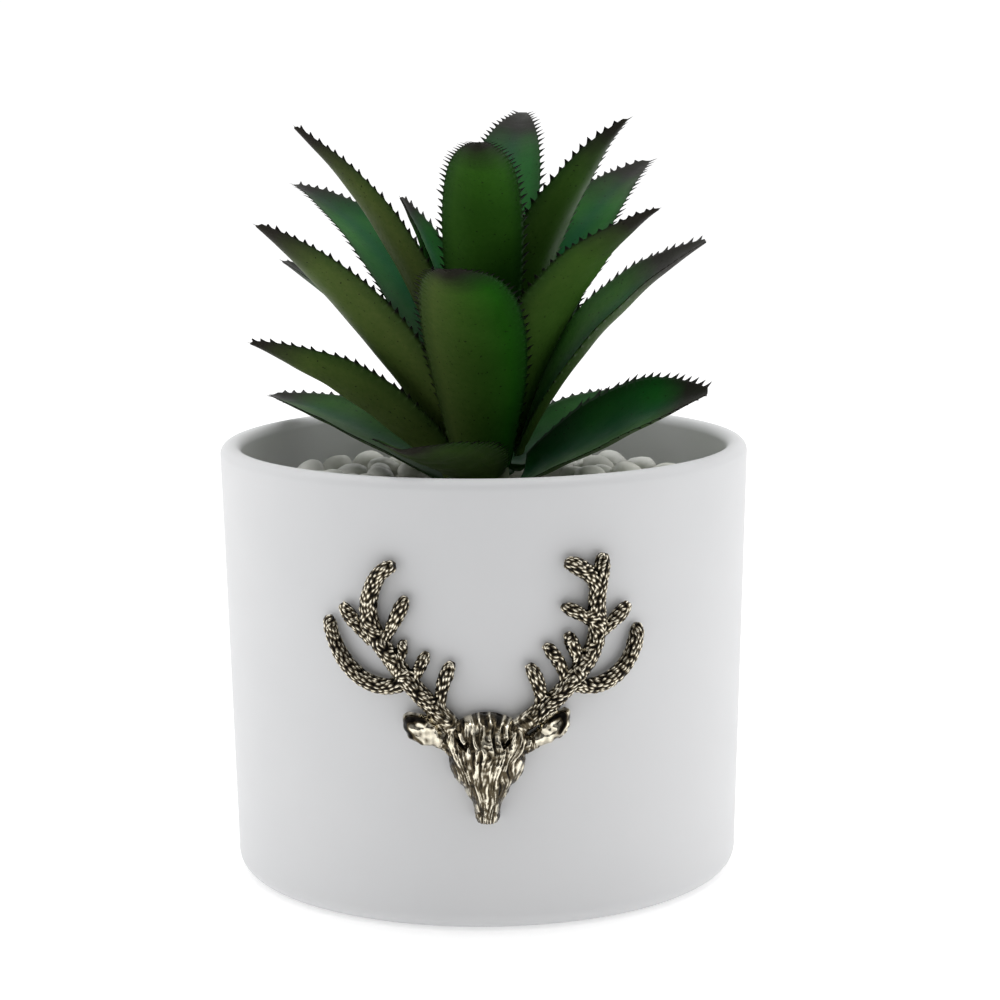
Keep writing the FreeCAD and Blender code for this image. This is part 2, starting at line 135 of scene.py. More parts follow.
class Finish:
    """A Principled material built from small named steps."""

    def __init__(self, name):
        self.material = bpy.data.materials.new(name)
        self.material.use_nodes = True
        self.tree = self.material.node_tree
        self.shader = self.tree.nodes["Principled BSDF"]

    def add(self, kind, **settings):
        node = self.tree.nodes.new(kind)
        for key, value in settings.items():
            setattr(node, key, value)
        return node

    def link(self, output, target):
        self.tree.links.new(output, target)

    def place(self, scale=(1, 1, 1)):
        coordinates = self.add("ShaderNodeTexCoord")
        mapping = self.add("ShaderNodeMapping")
        mapping.inputs["Scale"].default_value = scale
        self.link(coordinates.outputs["Object"], mapping.inputs["Vector"])
        return mapping.outputs["Vector"]

    def attribute(self, name):
        return self.add("ShaderNodeAttribute", attribute_name=name).outputs["Fac"]

    def noise(self, scale, detail=4.0, rough=0.55, vector=None):
        node = self.add("ShaderNodeTexNoise")
        node.inputs["Scale"].default_value = scale
        node.inputs["Detail"].default_value = detail
        node.inputs["Roughness"].default_value = rough
        self.link(vector or self.place(), node.inputs["Vector"])
        return node.outputs["Fac"]

    def ramp(self, value, *stops):
        """A colour ramp; each stop is (place, colour or grey)."""
        node = self.add("ShaderNodeValToRGB")
        elements = node.color_ramp.elements
        while len(elements) < len(stops):
            elements.new(0.5)
        for element, (place, colour) in zip(elements, stops):
            element.position = place
            rgb = colour if isinstance(colour, tuple) else (colour, colour, colour)
            element.color = (*rgb, 1)
        self.link(value, node.inputs["Fac"])
        return node.outputs["Color"]

    def mix(self, share, first, second, blend="MIX"):
        node = self.add("ShaderNodeMix", data_type="RGBA", blend_type=blend)
        sockets = (node.inputs[0], node.inputs[6], node.inputs[7])
        for socket, value in zip(sockets, (share, first, second)):
            if isinstance(value, (int, float)):
                socket.default_value = value
            elif isinstance(value, tuple):
                socket.default_value = (*value, 1)
            else:
                self.link(value, socket)
        return node.outputs[2]

    def math(self, operation, first, second=0.0):
        node = self.add("ShaderNodeMath", operation=operation)
        for socket, value in zip(node.inputs, (first, second)):
            if isinstance(value, (int, float)):
                socket.default_value = value
            else:
                self.link(value, socket)
        return node.outputs[0]

    def colour(self, output):
        self.link(output, self.shader.inputs["Base Color"])

    def roughness(self, output):
        self.link(output, self.shader.inputs["Roughness"])

    def bump(self, height, strength, distance):
        node = self.add("ShaderNodeBump")
        node.inputs["Strength"].default_value = strength
        node.inputs["Distance"].default_value = distance
        self.link(height, node.inputs["Height"])
        self.link(node.outputs["Normal"], self.shader.inputs["Normal"])

    def set(self, **values):
        for key, value in values.items():
            self.shader.inputs[key.replace("_", " ")].default_value = value


def ceramic_finish():
    finish = Finish("matte_white_ceramic")
    cloud = finish.noise(14, 3)
    finish.colour(finish.ramp(cloud, (0.3, (0.645, 0.65, 0.66)), (0.7, (0.685, 0.687, 0.695))))
    finish.roughness(finish.ramp(finish.noise(60, 5), (0.3, 0.46), (0.7, 0.56)))
    grain = finish.noise(2600, 3, 0.6)
    finish.bump(grain, 0.18, 0.05 * MM)
    return finish.material


def leaf_finish(name, deep, fresh, olive, roughness, channel_sheen):
    """Soft plastic leaf: greens that drift to olive, a painted bluish sheen down the middle of the blade, a
    stained tip, dark margins and speckles.
    """
    finish = Finish(name)
    along = finish.attribute("along")
    side = finish.attribute("side")
    tooth = finish.attribute("tooth")
    fine = finish.noise(900, 4, 0.6)
    broad = finish.noise(45, 3, 0.5)
    base = finish.mix(finish.ramp(broad, (0.30, 0.0), (0.70, 1.0)), deep, fresh)
    warm = finish.math("ADD", finish.attribute("olive"), finish.math("MULTIPLY", broad, 0.3))
    base = finish.mix(finish.ramp(warm, (0.25, 0.0), (1.05, 0.95)), base, olive)
    base = finish.mix(finish.ramp(fine, (0.25, 0.0), (0.75, 0.35)), base, deep)
    # Painted bluish sheen: a darker teal band down the middle of the blade's groove, as strong as the last
    # argument asks.
    base = finish.mix(finish.ramp(side, (0.05, channel_sheen), (0.45, 0.0)), base, (0.002, 0.060, 0.024))
    base = finish.mix(finish.ramp(side, (0.70, 0.0), (0.98, 0.6)), base, (0.006, 0.030, 0.006))
    stain = finish.math("ADD", along, finish.math("MULTIPLY", finish.noise(130, 3), 0.10))
    base = finish.mix(finish.ramp(stain, (0.80, 0.0), (0.99, 0.94)), base, (0.016, 0.012, 0.012))
    speckle = finish.ramp(finish.noise(1500, 1, 0.4), (0.70, 0.0), (0.76, 0.8))
    base = finish.mix(speckle, base, (0.006, 0.006, 0.003))
    base = finish.mix(finish.ramp(tooth, (0.08, 0.0), (0.45, 0.97)), base, (0.006, 0.005, 0.005))
    finish.colour(base)
    finish.roughness(finish.ramp(finish.noise(220, 4), (0.3, roughness - 0.06), (0.7, roughness + 0.08)))
    grain = finish.math("ADD", finish.noise(1400, 3, 0.6), finish.math("MULTIPLY", broad, 0.5))
    finish.bump(grain, 0.35, 0.12 * MM)
    finish.set(Specular_IOR_Level=0.05)
    return finish.material


def pebble_finish():
    finish = Finish("cream_pebble")
    tint = finish.attribute("tint")
    cloud = finish.noise(160, 4)
    base = finish.mix(tint, (0.62, 0.62, 0.55), (0.80, 0.80, 0.76))
    base = finish.mix(finish.ramp(cloud, (0.35, 0.0), (0.7, 0.35)), base, (0.50, 0.51, 0.44))
    finish.colour(base)
    finish.roughness(finish.ramp(finish.noise(500, 4), (0.3, 0.38), (0.7, 0.62)))
    finish.bump(finish.noise(900, 5, 0.65), 0.4, 0.12 * MM)
    return finish.material


def metal_finish():
    """Pale gold rubbed through a dark patina: the attribute says how proud a point stands."""
    finish = Finish("antiqued_metal")
    proud = finish.attribute("proud")
    wear = finish.math("ADD", proud, finish.math("MULTIPLY", finish.noise(700, 4, 0.6), 0.3))
    wear = finish.math("SUBTRACT", wear, 0.15)
    gold = finish.mix(finish.noise(260, 3), (0.78, 0.70, 0.52), (0.98, 0.93, 0.80))
    bronze = finish.mix(finish.ramp(wear, (0.18, 0.0), (0.50, 1.0)), (0.008, 0.007, 0.006), (0.085, 0.068, 0.042))
    base = finish.mix(finish.ramp(wear, (0.60, 0.0), (0.90, 1.0)), bronze, gold)
    finish.colour(base)
    finish.roughness(finish.ramp(wear, (0.20, 0.36), (0.80, 0.13)))
    finish.bump(finish.noise(1800, 4, 0.6), 0.3, 0.06 * MM)
    finish.set(Metallic=1.0)
    return finish.material


def foam_finish():
    finish = Finish("dry_foam")
    cells = finish.add("ShaderNodeTexVoronoi")
    cells.inputs["Scale"].default_value = 900
    finish.link(finish.place(), cells.inputs["Vector"])
    finish.colour(finish.mix(finish.noise(60), (0.17, 0.20, 0.12), (0.26, 0.30, 0.19)))
    finish.roughness(finish.ramp(finish.noise(300), (0.3, 0.85), (0.7, 0.98)))
    finish.bump(cells.outputs["Distance"], 0.8, 0.4 * MM)
    return finish.material


def stem_finish():
    finish = Finish("moulded_green_plastic")
    finish.colour(finish.mix(finish.noise(120), (0.030, 0.050, 0.012), (0.060, 0.090, 0.025)))
    finish.roughness(finish.ramp(finish.noise(400), (0.3, 0.45), (0.7, 0.6)))
    finish.bump(finish.noise(1200, 3), 0.3, 0.1 * MM)
    return finish.material


def wire_finish():
    finish = Finish("drawn_steel_wire")
    streaks = finish.noise(90, 4, 0.6, finish.place((1, 1, 0.05)))
    finish.colour(finish.mix(streaks, (0.36, 0.36, 0.36), (0.52, 0.52, 0.51)))
    finish.roughness(finish.ramp(streaks, (0.3, 0.28), (0.7, 0.45)))
    finish.bump(streaks, 0.2, 0.03 * MM)
    finish.set(Metallic=1.0)
    return finish.material


def glue_finish():
    finish = Finish("cured_glue")
    finish.colour(finish.mix(finish.noise(200), (0.60, 0.57, 0.48), (0.70, 0.67, 0.58)))
    finish.roughness(finish.ramp(finish.noise(400), (0.3, 0.3), (0.7, 0.5)))
    finish.bump(finish.noise(500, 3), 0.3, 0.1 * MM)
    return finish.material


# ------------------------------------------------------------------- the pot

def pot_profile():
    """The CAD pot's rings as (radius, height), and which rings are joined by an edge."""
    bm = welded("pot")
    ring_of = {}
    rings = []
    for vertex in bm.verts:
        key = (round(math.hypot(vertex.co.x, vertex.co.y), 5), round(vertex.co.z, 5))
        if key not in ring_of:
            ring_of[key] = len(rings)
            rings.append(key)
    near = {index: set() for index in range(len(rings))}
    keys = {v: ring_of[(round(math.hypot(v.co.x, v.co.y), 5), round(v.co.z, 5))] for v in bm.verts}
    for edge in bm.edges:
        first, second = keys[edge.verts[0]], keys[edge.verts[1]]
        if first != second:
            near[first].add(second)
            near[second].add(first)
    bm.free()
    return rings, near


def walk(rings, near):
    """Ring indexes in order from the underside's edge round to the inside floor's edge."""
    start = min(near, key=lambda index: (rings[index][1], rings[index][0]))
    path, seen = [start], {start}
    while True:
        options = [index for index in near[path[-1]] if index not in seen]
        if not options:
            return path
        here = rings[path[-1]]
        path.append(min(options, key=lambda i: math.dist(here, rings[i])))
        seen.add(path[-1])


def denser(profile, step):
    """The same polyline with no stretch longer than a step."""
    points = [profile[0]]
    for first, second in zip(profile, profile[1:]):
        count = max(1, math.ceil(math.dist(first, second) / step))
        for n in range(1, count + 1):
            part = n / count
            points.append((first[0] + (second[0] - first[0]) * part,
                           first[1] + (second[1] - first[1]) * part))
    return points


def build_pot(material):
    """A lathe of the CAD section, with the faint unevenness of a slip-cast wall."""
    rings, near = pot_profile()
    profile = denser([rings[index] for index in walk(rings, near)], POT_STEP)
    around = POT_AROUND
    points, faces = [], []
    for radius, height in profile:
        for n in range(around):
            angle = 2 * math.pi * n / around
            wave = noise.noise(Vector((math.cos(angle) * 1.6, math.sin(angle) * 1.6, height * 22)))
            out = radius + wave * POT_WAVE
            points.append((out * math.cos(angle), out * math.sin(angle), height))
    for row in range(len(profile) - 1):
        for n in range(around):
            a, b = row * around + n, row * around + (n + 1) % around
            faces.append((a, b, b + around, a + around))
    for row, flip in ((0, True), (len(profile) - 1, False)):
        centre = len(points)
        points.append((0, 0, profile[row][1]))
        for n in range(around):
            a, b = row * around + n, row * around + (n + 1) % around
            faces.append((b, a, centre) if flip else (a, b, centre))
    pot = make_object("pot_shell", points, faces, [material])
    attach(pot, "planter")
    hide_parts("pot")
    return pot


# -------------------------------------------------------------------- pebbles

def islands(node):
    """The (centre, half sizes, turn) of each separate solid in a CAD node."""
    bm = welded(node)
    seen, found = set(), []
    for start in bm.verts:
        if start in seen:
            continue
        stack, group = [start], []
        seen.add(start)
        while stack:
            vertex = stack.pop()
            group.append(vertex.co.copy())
            for edge in vertex.link_edges:
                other = edge.other_vert(vertex)
                if other not in seen:
                    seen.add(other)
                    stack.append(other)
        cloud = np.array(group)
        low, high = cloud.min(0), cloud.max(0)
        flat = (cloud - cloud.mean(0))[:, :2]
        values, vectors = np.linalg.eigh(flat.T @ flat)
        turn = math.atan2(vectors[1, 1], vectors[0, 1])
        reach = np.abs(flat @ vectors).max(0)
        found.append((Vector((low + high) / 2), (reach[1], reach[0], (high[2] - low[2]) / 2), turn))
    bm.free()
    return found


def stone_mesh(detail):
    bm = bmesh.new()
    bmesh.ops.create_icosphere(bm, subdivisions=detail, radius=1.0)
    points = np.array([v.co for v in bm.verts])
    faces = [tuple(v.index for v in f.verts) for f in bm.faces]
    bm.free()
    return points, faces


def shaped_stone(sphere, centre, half, turn, seed, random):
    """One worn pebble: an uneven, slightly flattened ball turned into place."""
    offset = Vector((seed * 3.1, seed * 1.7, seed * 5.3))
    out = []
    squareness = random.uniform(0.80, 1.0)
    angle = random.uniform(-0.3, 0.3)
    tilt = Matrix.Rotation(angle, 3, Vector((random.random() - 0.5, 1, 0)).normalized())
    spin = Matrix.Rotation(turn, 3, "Z") @ tilt
    for point in sphere:
        direction = Vector(point)
        lump = noise.noise(direction * 0.9 + offset) * 0.20 + noise.noise(direction * 2.3 + offset) * 0.05
        shaped = Vector([math.copysign(abs(c) ** squareness, c) for c in direction])
        shaped = shaped.normalized() * (1 + lump)
        place = Vector((shaped.x * half[0], shaped.y * half[1], shaped.z * half[2]))
        out.append(centre + spin @ place)
    return out


def build_pebbles(name, node, material, extra, random):
    """Every CAD stone as a worn pebble, and the extra ones, which the CAD does not have."""
    sphere, sphere_faces = stone_mesh(3)
    stones = islands(node)
    stones += extra
    points, faces, tints = [], [], []
    for seed, (centre, half, turn) in enumerate(stones):
        start = len(points)
        sizes = [value * random.uniform(0.92, 1.06) for value in half]
        sizes[2] = half[2] * random.uniform(0.9, 1.0)
        points += shaped_stone(sphere, centre, sizes, turn, seed + len(name), random)
        faces += [tuple(start + i for i in face) for face in sphere_faces]
        tints += [random.random()] * len(sphere)
    obj = make_object(name, points, faces, [material])
    put_attribute(obj, "tint", tints)
    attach(obj, "planter")
    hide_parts(node)
    return obj


def filler_stones(taken, inner, outer, bottom, sizes, random):
    """Smaller stones dropped into the gaps between the stones of one layer."""
    placed, extra = list(taken), []
    for _ in range(FILLER_TRIES):
        size = random.uniform(*sizes) * MM
        radius = math.sqrt(random.uniform((inner + size) ** 2, (outer - size) ** 2))
        angle = random.uniform(0, 2 * math.pi)
        centre = Vector((radius * math.cos(angle), radius * math.sin(angle), bottom + size * 0.8))
        if all((centre.xy - other.xy).length > size * 0.9 + half[1] for other, half, _ in placed):
            stone = (centre, (size * 1.15, size, size * 0.8), random.uniform(0, 3))
            placed.append(stone)
            extra.append(stone)
    return extra


# --------------------------------------------------------------------- leaves

def margins(bm):
    """The blade's two sharp margins, each ordered from root to tip."""
    sharp = [e for e in bm.edges if e.is_manifold and e.calc_face_angle() > SHARP_EDGE]
    links = {}
    for edge in sharp:
        for vertex in edge.verts:
            links.setdefault(vertex, []).append(edge)
    chains, used = [], set()
    ends = [v for v, edges in links.items() if len(edges) == 1]
    for start in ends:
        if start in used:
            continue
        chain, here, last = [start.co.copy()], start, None
        used.add(start)
        while True:
            onward = [e for e in links[here] if e is not last]
            if not onward:
                break
            last = onward[0]
            here = last.other_vert(here)
            if here in used:
                break
            used.add(here)
            chain.append(here.co.copy())
        chains.append(chain)
    chains.sort(key=lambda c: -sum((a - b).length for a, b in zip(c, c[1:])))
    left, right = chains[:2]
    for chain in (left, right):
        if chain[0].z > chain[-1].z:
            chain.reverse()
    return left, right


def resampled(chain, count):
    """Points evenly spaced along a polyline."""
    cloud = np.array(chain)
    gaps = np.linalg.norm(np.diff(cloud, axis=0), axis=1)
    keep = np.concatenate([[True], gaps > 1e-7])
    cloud = cloud[keep]
    gaps = np.linalg.norm(np.diff(cloud, axis=0), axis=1)
    along = np.concatenate([[0], np.cumsum(gaps)]) / gaps.sum()
    wanted = np.linspace(0, 1, count)
    return np.stack([np.interp(wanted, along, cloud[:, axis]) for axis in range(3)], axis=1)


def unit(vectors):
    return vectors / np.maximum(np.linalg.norm(vectors, axis=-1, keepdims=True), 1e-12)


def smoothed(values, passes):
    """Running average down the rows, with the ends held."""
    out = values.copy()
    for _ in range(passes):
        out[1:-1] = (out[:-2] + 2 * out[1:-1] + out[2:]) / 4
    return out


def blade_depths(tree, middle, inward, count):
    """How far below the margins' chord the inner and the outer face lie, at each station."""
    depths = np.zeros((count, 2))
    for row in range(count):
        origin, ray = Vector(middle[row] + inward[row] * 0.02 * MM), Vector(-inward[row])
        first = tree.ray_cast(origin, ray, RAY_REACH)
        if first[0] is None:
            depths[row] = depths[row - 1] if row else (0, 0.5 * MM)
            continue
        second = tree.ray_cast(first[0] + ray * 0.01 * MM, ray, RAY_REACH)
        near = first[3]
        far = near + 0.01 * MM + second[3] if second[0] is not None else near + 0.5 * MM
        depths[row] = (near - 0.02 * MM, far - 0.02 * MM)
    return depths


def tooth_rows(length, count, random):
    """Outward reach and forward lean of the margin at each station, tooth by tooth."""
    reach, lean = np.zeros(count), np.zeros(count)
    place = 0.05 * length
    station = length / (count - 1)
    while place < length - 0.5 * MM:
        part = place / length
        pitch = TOOTH_PITCH * (1.0 - 0.12 * smooth_step(0.5, 0.95, part)) * random.uniform(0.82, 1.2)
        high = TOOTH_HIGH * (0.35 + 0.65 * smooth_step(0.03, 0.45, part)) * random.uniform(0.7, 1.2)
        base = min(pitch * 0.78, 1.80 * MM)
        first = int(place / station)
        steps = max(4, int(base / station))
        for n in range(steps + 1):
            row = first + n
            if row >= count:
                break
            phase = n / steps
            rise = (phase / 0.66) ** 1.5 if phase < 0.66 else max(0.0, 1 - (phase - 0.66) / 0.34)
            reach[row] = max(reach[row], high * rise)
            lean[row] = max(lean[row], high * rise * 0.75)
        place += pitch
    return reach, lean


def blade_grid(node):
    """A CAD blade's margins, middle line, directions, width and face depths, row by row."""
    bm = welded(node)
    left_chain, right_chain = margins(bm)
    tree = BVHTree.FromBMesh(bm)
    length = sum((a - b).length for a, b in zip(left_chain, left_chain[1:]))
    count = max(60, int(length / STATION_STEP))
    left, right = resampled(left_chain, count), resampled(right_chain, count)
    middle = (left + right) / 2
    tangent = unit(smoothed(np.gradient(middle, axis=0), 6))
    across = right - left
    width = np.linalg.norm(across, axis=1)
    across = unit(across)
    inward = unit(np.cross(across, tangent))
    probe = count // 2
    below = tree.ray_cast(Vector(middle[probe]), Vector(-inward[probe]), RAY_REACH)
    if below[0] is None:
        inward = -inward
        left, right, across = right, left, -across
    depths = smoothed(blade_depths(tree, middle, inward, count), 10)
    bm.free()
    return left, right, middle, tangent, across, inward, width, depths, length, count


def leaf_points(node, random):
    """Vertices, faces and attributes of one finished leaf blade."""
    blade = blade_grid(node)
    left, right, middle, tangent, across, inward, width, depths, length, count = blade
    columns = np.linspace(-1, 1, 2 * ACROSS + 1)
    columns = np.sign(columns) * (1 - (1 - np.abs(columns)) ** 1.25)
    seed = Vector((random.uniform(0, 50), random.uniform(0, 50), random.uniform(0, 50)))
    left_teeth = tooth_rows(length, count, random)
    right_teeth = tooth_rows(length, count, random)
    inner, outer = [], []
    tooth = np.zeros((count, len(columns)))
    for column, place in enumerate(columns):
        arch = 1 - abs(place) ** 2
        fold = 1 - (place * place + 0.06) ** 0.5
        crease = 0.72 * arch + 0.28 * fold / (1 - 0.06 ** 0.5)
        base = middle + across * (width / 2 * place)[:, None]
        near = base - inward * (depths[:, 0] * crease)[:, None]
        far = base - inward * (depths[:, 1] * (0.9 * arch + 0.1 * crease))[:, None]
        if abs(place) == 1:
            reach, lean = left_teeth if place < 0 else right_teeth
            side = -1 if place < 0 else 1
            push = across * (side * reach)[:, None] + tangent * lean[:, None]
            push += inward * (reach * 0.25)[:, None]
            near = base + push
            far = near.copy()
            tooth[:, column] = reach / TOOTH_HIGH
        inner.append(near)
        outer.append(far)
    inner, outer = np.stack(inner, axis=1), np.stack(outer, axis=1)
    ripple = np.zeros((count, 1, 1))
    for row in range(count):
        along = row / count
        ripple[row] = noise.noise(seed + Vector((along * 7, 0, 0))) * 0.35 * MM * min(1, along * 3)
    inner += inward[:, None, :] * ripple
    outer += inward[:, None, :] * ripple
    if left[:, 0].mean() > right[:, 0].mean():
        columns = -columns
    return inner, outer, tooth, columns, count


def build_leaf(node, materials, random):
    """One leaf: two faces that share the toothed margins, closed at the root and the tip."""
    inner, outer, tooth, columns, count = leaf_points(node, random)
    wide = len(columns)
    points, along, side, teeth = [], [], [], []
    middle, slope = OLIVE.get(node, (0.15, 0.0))
    top = {}
    bottom = {}
    for row in range(count):
        for column in range(wide):
            top[row, column] = len(points)
            points.append(inner[row, column])
            along.append(row / (count - 1))
            side.append(columns[column])
            teeth.append(tooth[row, column])
    for row in range(count):
        for column in range(wide):
            if column in (0, wide - 1):
                bottom[row, column] = top[row, column]
                continue
            bottom[row, column] = len(points)
            points.append(outer[row, column])
            along.append(row / (count - 1))
            side.append(columns[column])
            teeth.append(0.0)
    faces, slots = [], []
    for row in range(count - 1):
        for column in range(wide - 1):
            corners = ((row, column), (row, column + 1), (row + 1, column + 1), (row + 1, column))
            faces.append(tuple(top[c] for c in corners))
            slots.append(0)
            faces.append(tuple(bottom[c] for c in reversed(corners)))
            slots.append(1)
    for row, flip in ((0, False), (count - 1, True)):
        for column in range(wide - 1):
            corners = [top[row, column], bottom[row, column],
                       bottom[row, column + 1], top[row, column + 1]]
            corners = list(dict.fromkeys(corners))
            faces.append(tuple(reversed(corners)) if flip else tuple(corners))
            slots.append(1)
    obj = make_object(node + "_blade", points, faces, materials, slots)
    put_attribute(obj, "along", np.array(along) * (1 + STAINED.get(node, 0.0)))
    put_attribute(obj, "side", np.abs(side))
    put_attribute(obj, "olive", middle - slope * np.array(side))
    put_attribute(obj, "tooth", teeth)
    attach(obj, "rosette")
    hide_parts(node)
    return obj


# ---------------------------------------------------------------------- badge

def remeshed(node, voxel):
    """An even, closed mesh of a CAD node."""
    bm = welded(node)
    mesh = bpy.data.meshes.new("coarse")
    bm.to_mesh(mesh)
    bm.free()
    helper = bpy.data.objects.new("helper", mesh)
    bpy.context.scene.collection.objects.link(helper)
    modifier = helper.modifiers.new("even", "REMESH")
    modifier.mode = "VOXEL"
    modifier.voxel_size = voxel
    graph = bpy.context.evaluated_depsgraph_get()
    even = bpy.data.meshes.new_from_object(helper.evaluated_get(graph))
    bpy.data.objects.remove(helper)
    return even


def tree_of(points):
    tree = KDTree(len(points))
    for index, point in enumerate(points):
        tree.insert(point, index)
    tree.balance()
    return tree


def tine_axes(points, random):
    """Seed points on the casting and the direction of the branch at each of them."""
    some = points[random.sample(range(len(points)), 9000)]
    tree = tree_of(some)
    seeds = some[:900]
    axes = []
    for seed in seeds:
        near = some[[index for _, index, _ in tree.find_range(seed, 3.4 * MM)]]
        flat = near - near.mean(0)
        values, vectors = np.linalg.eigh(flat.T @ flat)
        axes.append(vectors[:, 2])
    return seeds, np.array(axes)


def beads(points, normals, antler, random):
    """Rows of small raised grains along the antlers: height from 0 in the gaps to 1 on a grain."""
    seeds, axes = tine_axes(points[antler], random)
    seed_tree, tree = tree_of(seeds), tree_of(points)
    taken, height = np.zeros(len(points), dtype=bool), np.zeros(len(points))
    order = list(antler)
    random.shuffle(order)
    for index in order:
        if taken[index]:
            continue
        centre = points[index]
        axis = axes[seed_tree.find(centre)[1]]
        axis = unit(axis - normals[index] * np.dot(axis, normals[index]))
        lean = np.cross(axis, normals[index])
        long, wide = random.uniform(0.60, 0.95) * MM, random.uniform(0.24, 0.36) * MM
        near = np.array([found for _, found, _ in tree.find_range(centre, long * 1.8)])
        offset = points[near] - centre
        reach = np.sqrt((offset @ axis / long) ** 2 + (offset @ lean / wide) ** 2)
        taken[near[reach < 1.75]] = True
        inside = near[reach < 1.3]
        height[inside] = np.maximum(height[inside], 1 - (reach[reach < 1.3] / 1.3) ** 1.8)
    return height


def streaks(across, up):
    """Locks of hair that run down the face and draw together at the muzzle."""
    fan = across / (2.4 + 0.34 * up)
    out = np.zeros(len(across))
    for row in range(len(across)):
        wander = noise.noise(Vector((fan[row] * 2, up[row] * 0.22, 3))) * 0.16
        out[row] = noise.noise(Vector(((fan[row] + wander) * 11, up[row] * 0.20, 0)))
        out[row] += 0.7 * noise.noise(Vector(((fan[row] + wander) * 24, up[row] * 0.5, 9)))
        out[row] += 0.35 * noise.noise(Vector((fan[row] * 9, up[row] * 1.3, 5)))
    return np.clip(0.5 + 0.85 * out, 0, 1)


# The CAD head is too narrow at the cheeks and is widened here, below the ears. These widths are
# not read from the frame. Each is (heights above the muzzle, half widths), in millimetres:
# first the CAD loft's, then the wider ones.
LOFT_HALF = ((0, 2, 5.8, 9.8, 13.9, 17.2), (2.4, 2.8, 3.4, 5.5, 7.9, 8.7))
CAST_HALF = ((0, 2, 4.1, 5.2, 6.4, 7.5, 8.6, 9.7, 10.8, 13.9, 17.2),
             (2.4, 2.7, 3.2, 3.8, 4.7, 5.3, 6.2, 7.1, 7.6, 8.1, 8.7))

# Hollows cast into the face, millimetres from the muzzle: place, half length, half width,
# slant and depth.
DIMPLES = ((-5.6, 17.9, 2.3, 0.7, -0.9, 1.3), (-4.3, 17.6, 1.3, 0.6, 1.1, 1.0),
           (4.6, 18.3, 2.0, 0.6, 0.9, 1.1), (3.6, 17.6, 1.2, 0.5, -1.1, 0.8),
           (-1.6, 2.2, 1.0, 0.6, 1.2, 0.6), (1.6, 2.2, 1.0, 0.6, -1.2, 0.6),
           (-7.6, 13.8, 1.8, 0.5, 1.2, 0.6), (7.6, 13.8, 1.8, 0.5, -1.2, 0.6))


def build_badge(material, random):
    """The casting with fuller cheeks, grained antlers, a hairy face, hollow ears and recesses."""
    mesh = remeshed("stag_badge", BADGE_VOXEL)
    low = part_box("stag_badge")[0]
    points = vertex_array(mesh)
    normals = np.zeros(len(points) * 3)
    mesh.vertex_normals.foreach_get("vector", normals)
    normals = unit(normals.reshape(-1, 3))
    muzzle = points[points[:, 2] < low[2] + 4 * MM]
    across = (points[:, 0] - muzzle[:, 0].mean()) / MM
    up = (points[:, 2] - low[2]) / MM
    half = np.where(up < 17.5, 2.9 + 0.37 * up, 9.4 - 0.9 * np.maximum(0, up - 17.5))
    face = (np.abs(across) < half) & (up < 24.5)
    fuller = np.interp(up, *CAST_HALF) / np.interp(up, *LOFT_HALF)
    points[:, 0] += across * (fuller - 1) * MM * (up < 16)
    across = across * np.where(up < 16, fuller, 1)
    raise_by, proud = np.zeros(len(points)), np.full(len(points), 0.5)
    ears = np.zeros(len(points), dtype=bool)
    for side, place, size, slant in ((-1, (-13.9, 20.1), (4.2, 2.7), -0.55), (1, (14.0, 20.3), (4.1, 2.0), 0.85)):
        x, y = across - place[0], up - place[1]
        main = (x * math.cos(slant) + y * math.sin(slant)) / size[0]
        cross = (-x * math.sin(slant) + y * math.cos(slant)) / size[1]
        reach = np.sqrt(main ** 2 + cross ** 2)
        ear = (reach < 1.25) & ~face & (normals[:, 1] < 0.2)
        ears |= ear
        hollow = 1 - smooth_step(0.35, 0.95, reach[ear])
        lumps = np.array([noise.noise(Vector((a * 0.7, b * 0.7, 4))) for a, b in zip(across[ear], up[ear])])
        rim = smooth_step(0.55, 0.80, reach[ear]) * (1 - smooth_step(0.88, 1.05, reach[ear]))
        raise_by[ear] = -0.7 * hollow + 0.35 * lumps
        proud[ear] = 0.80 + 0.35 * lumps - 0.75 * rim * smooth_step(-0.3, 0.3, main[ear] * side + lumps)
    antler = np.flatnonzero(~face & ~ears)
    grain = beads(points, normals, antler, random)
    raise_by[antler] = 0.38 * grain[antler] - 0.16
    proud[antler] = grain[antler]
    root = antler[np.hypot(across[antler], up[antler] - 19) < 13]
    worn = 0.6 * (1 - smooth_step(8.5, 13, np.hypot(across[root], up[root] - 19)))
    smear = np.array([noise.noise(Vector((a * 0.9, b * 0.5, 8))) for a, b in zip(across[root], up[root])])
    proud[root] += worn * (0.62 + 0.7 * smear - proud[root])
    raise_by[root] *= 1 - worn
    rows = np.flatnonzero(face)
    hair = streaks(across[rows], up[rows])
    depth = 0.34 + 0.34 * smooth_step(8, 18, up[rows])
    raise_by[rows] = depth * (hair - 0.5)
    proud[rows] = 0.18 + 0.80 * hair
    for x, y, long, wide, slant, deep in DIMPLES:
        along = (across - x) * math.cos(slant) + (up - y) * math.sin(slant)
        aside = (up - y) * math.cos(slant) - (across - x) * math.sin(slant)
        dip = (1 - smooth_step(0.2, 1.0, np.hypot(along / long, aside / wide))) * (normals[:, 1] < 0)
        raise_by -= deep * dip
        proud *= 1 - 0.6 * dip
    front = smooth_step(-0.25, 0.15, -normals[:, 1])
    moved = points + normals * (raise_by * front * MM)[:, None]
    mesh.vertices.foreach_set("co", moved.ravel())
    mesh.polygons.foreach_set("use_smooth", np.ones(len(mesh.polygons), dtype=bool))
    mesh.materials.clear()
    mesh.materials.append(material)
    mesh.update()
    badge = bpy.data.objects.new("badge_cast", mesh)
    bpy.context.scene.collection.objects.link(badge)
    put_attribute(badge, "proud", proud)
    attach(badge, "planter")
    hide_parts("stag_badge")
    return badge


# ------------------------------------------------------------ camera and light

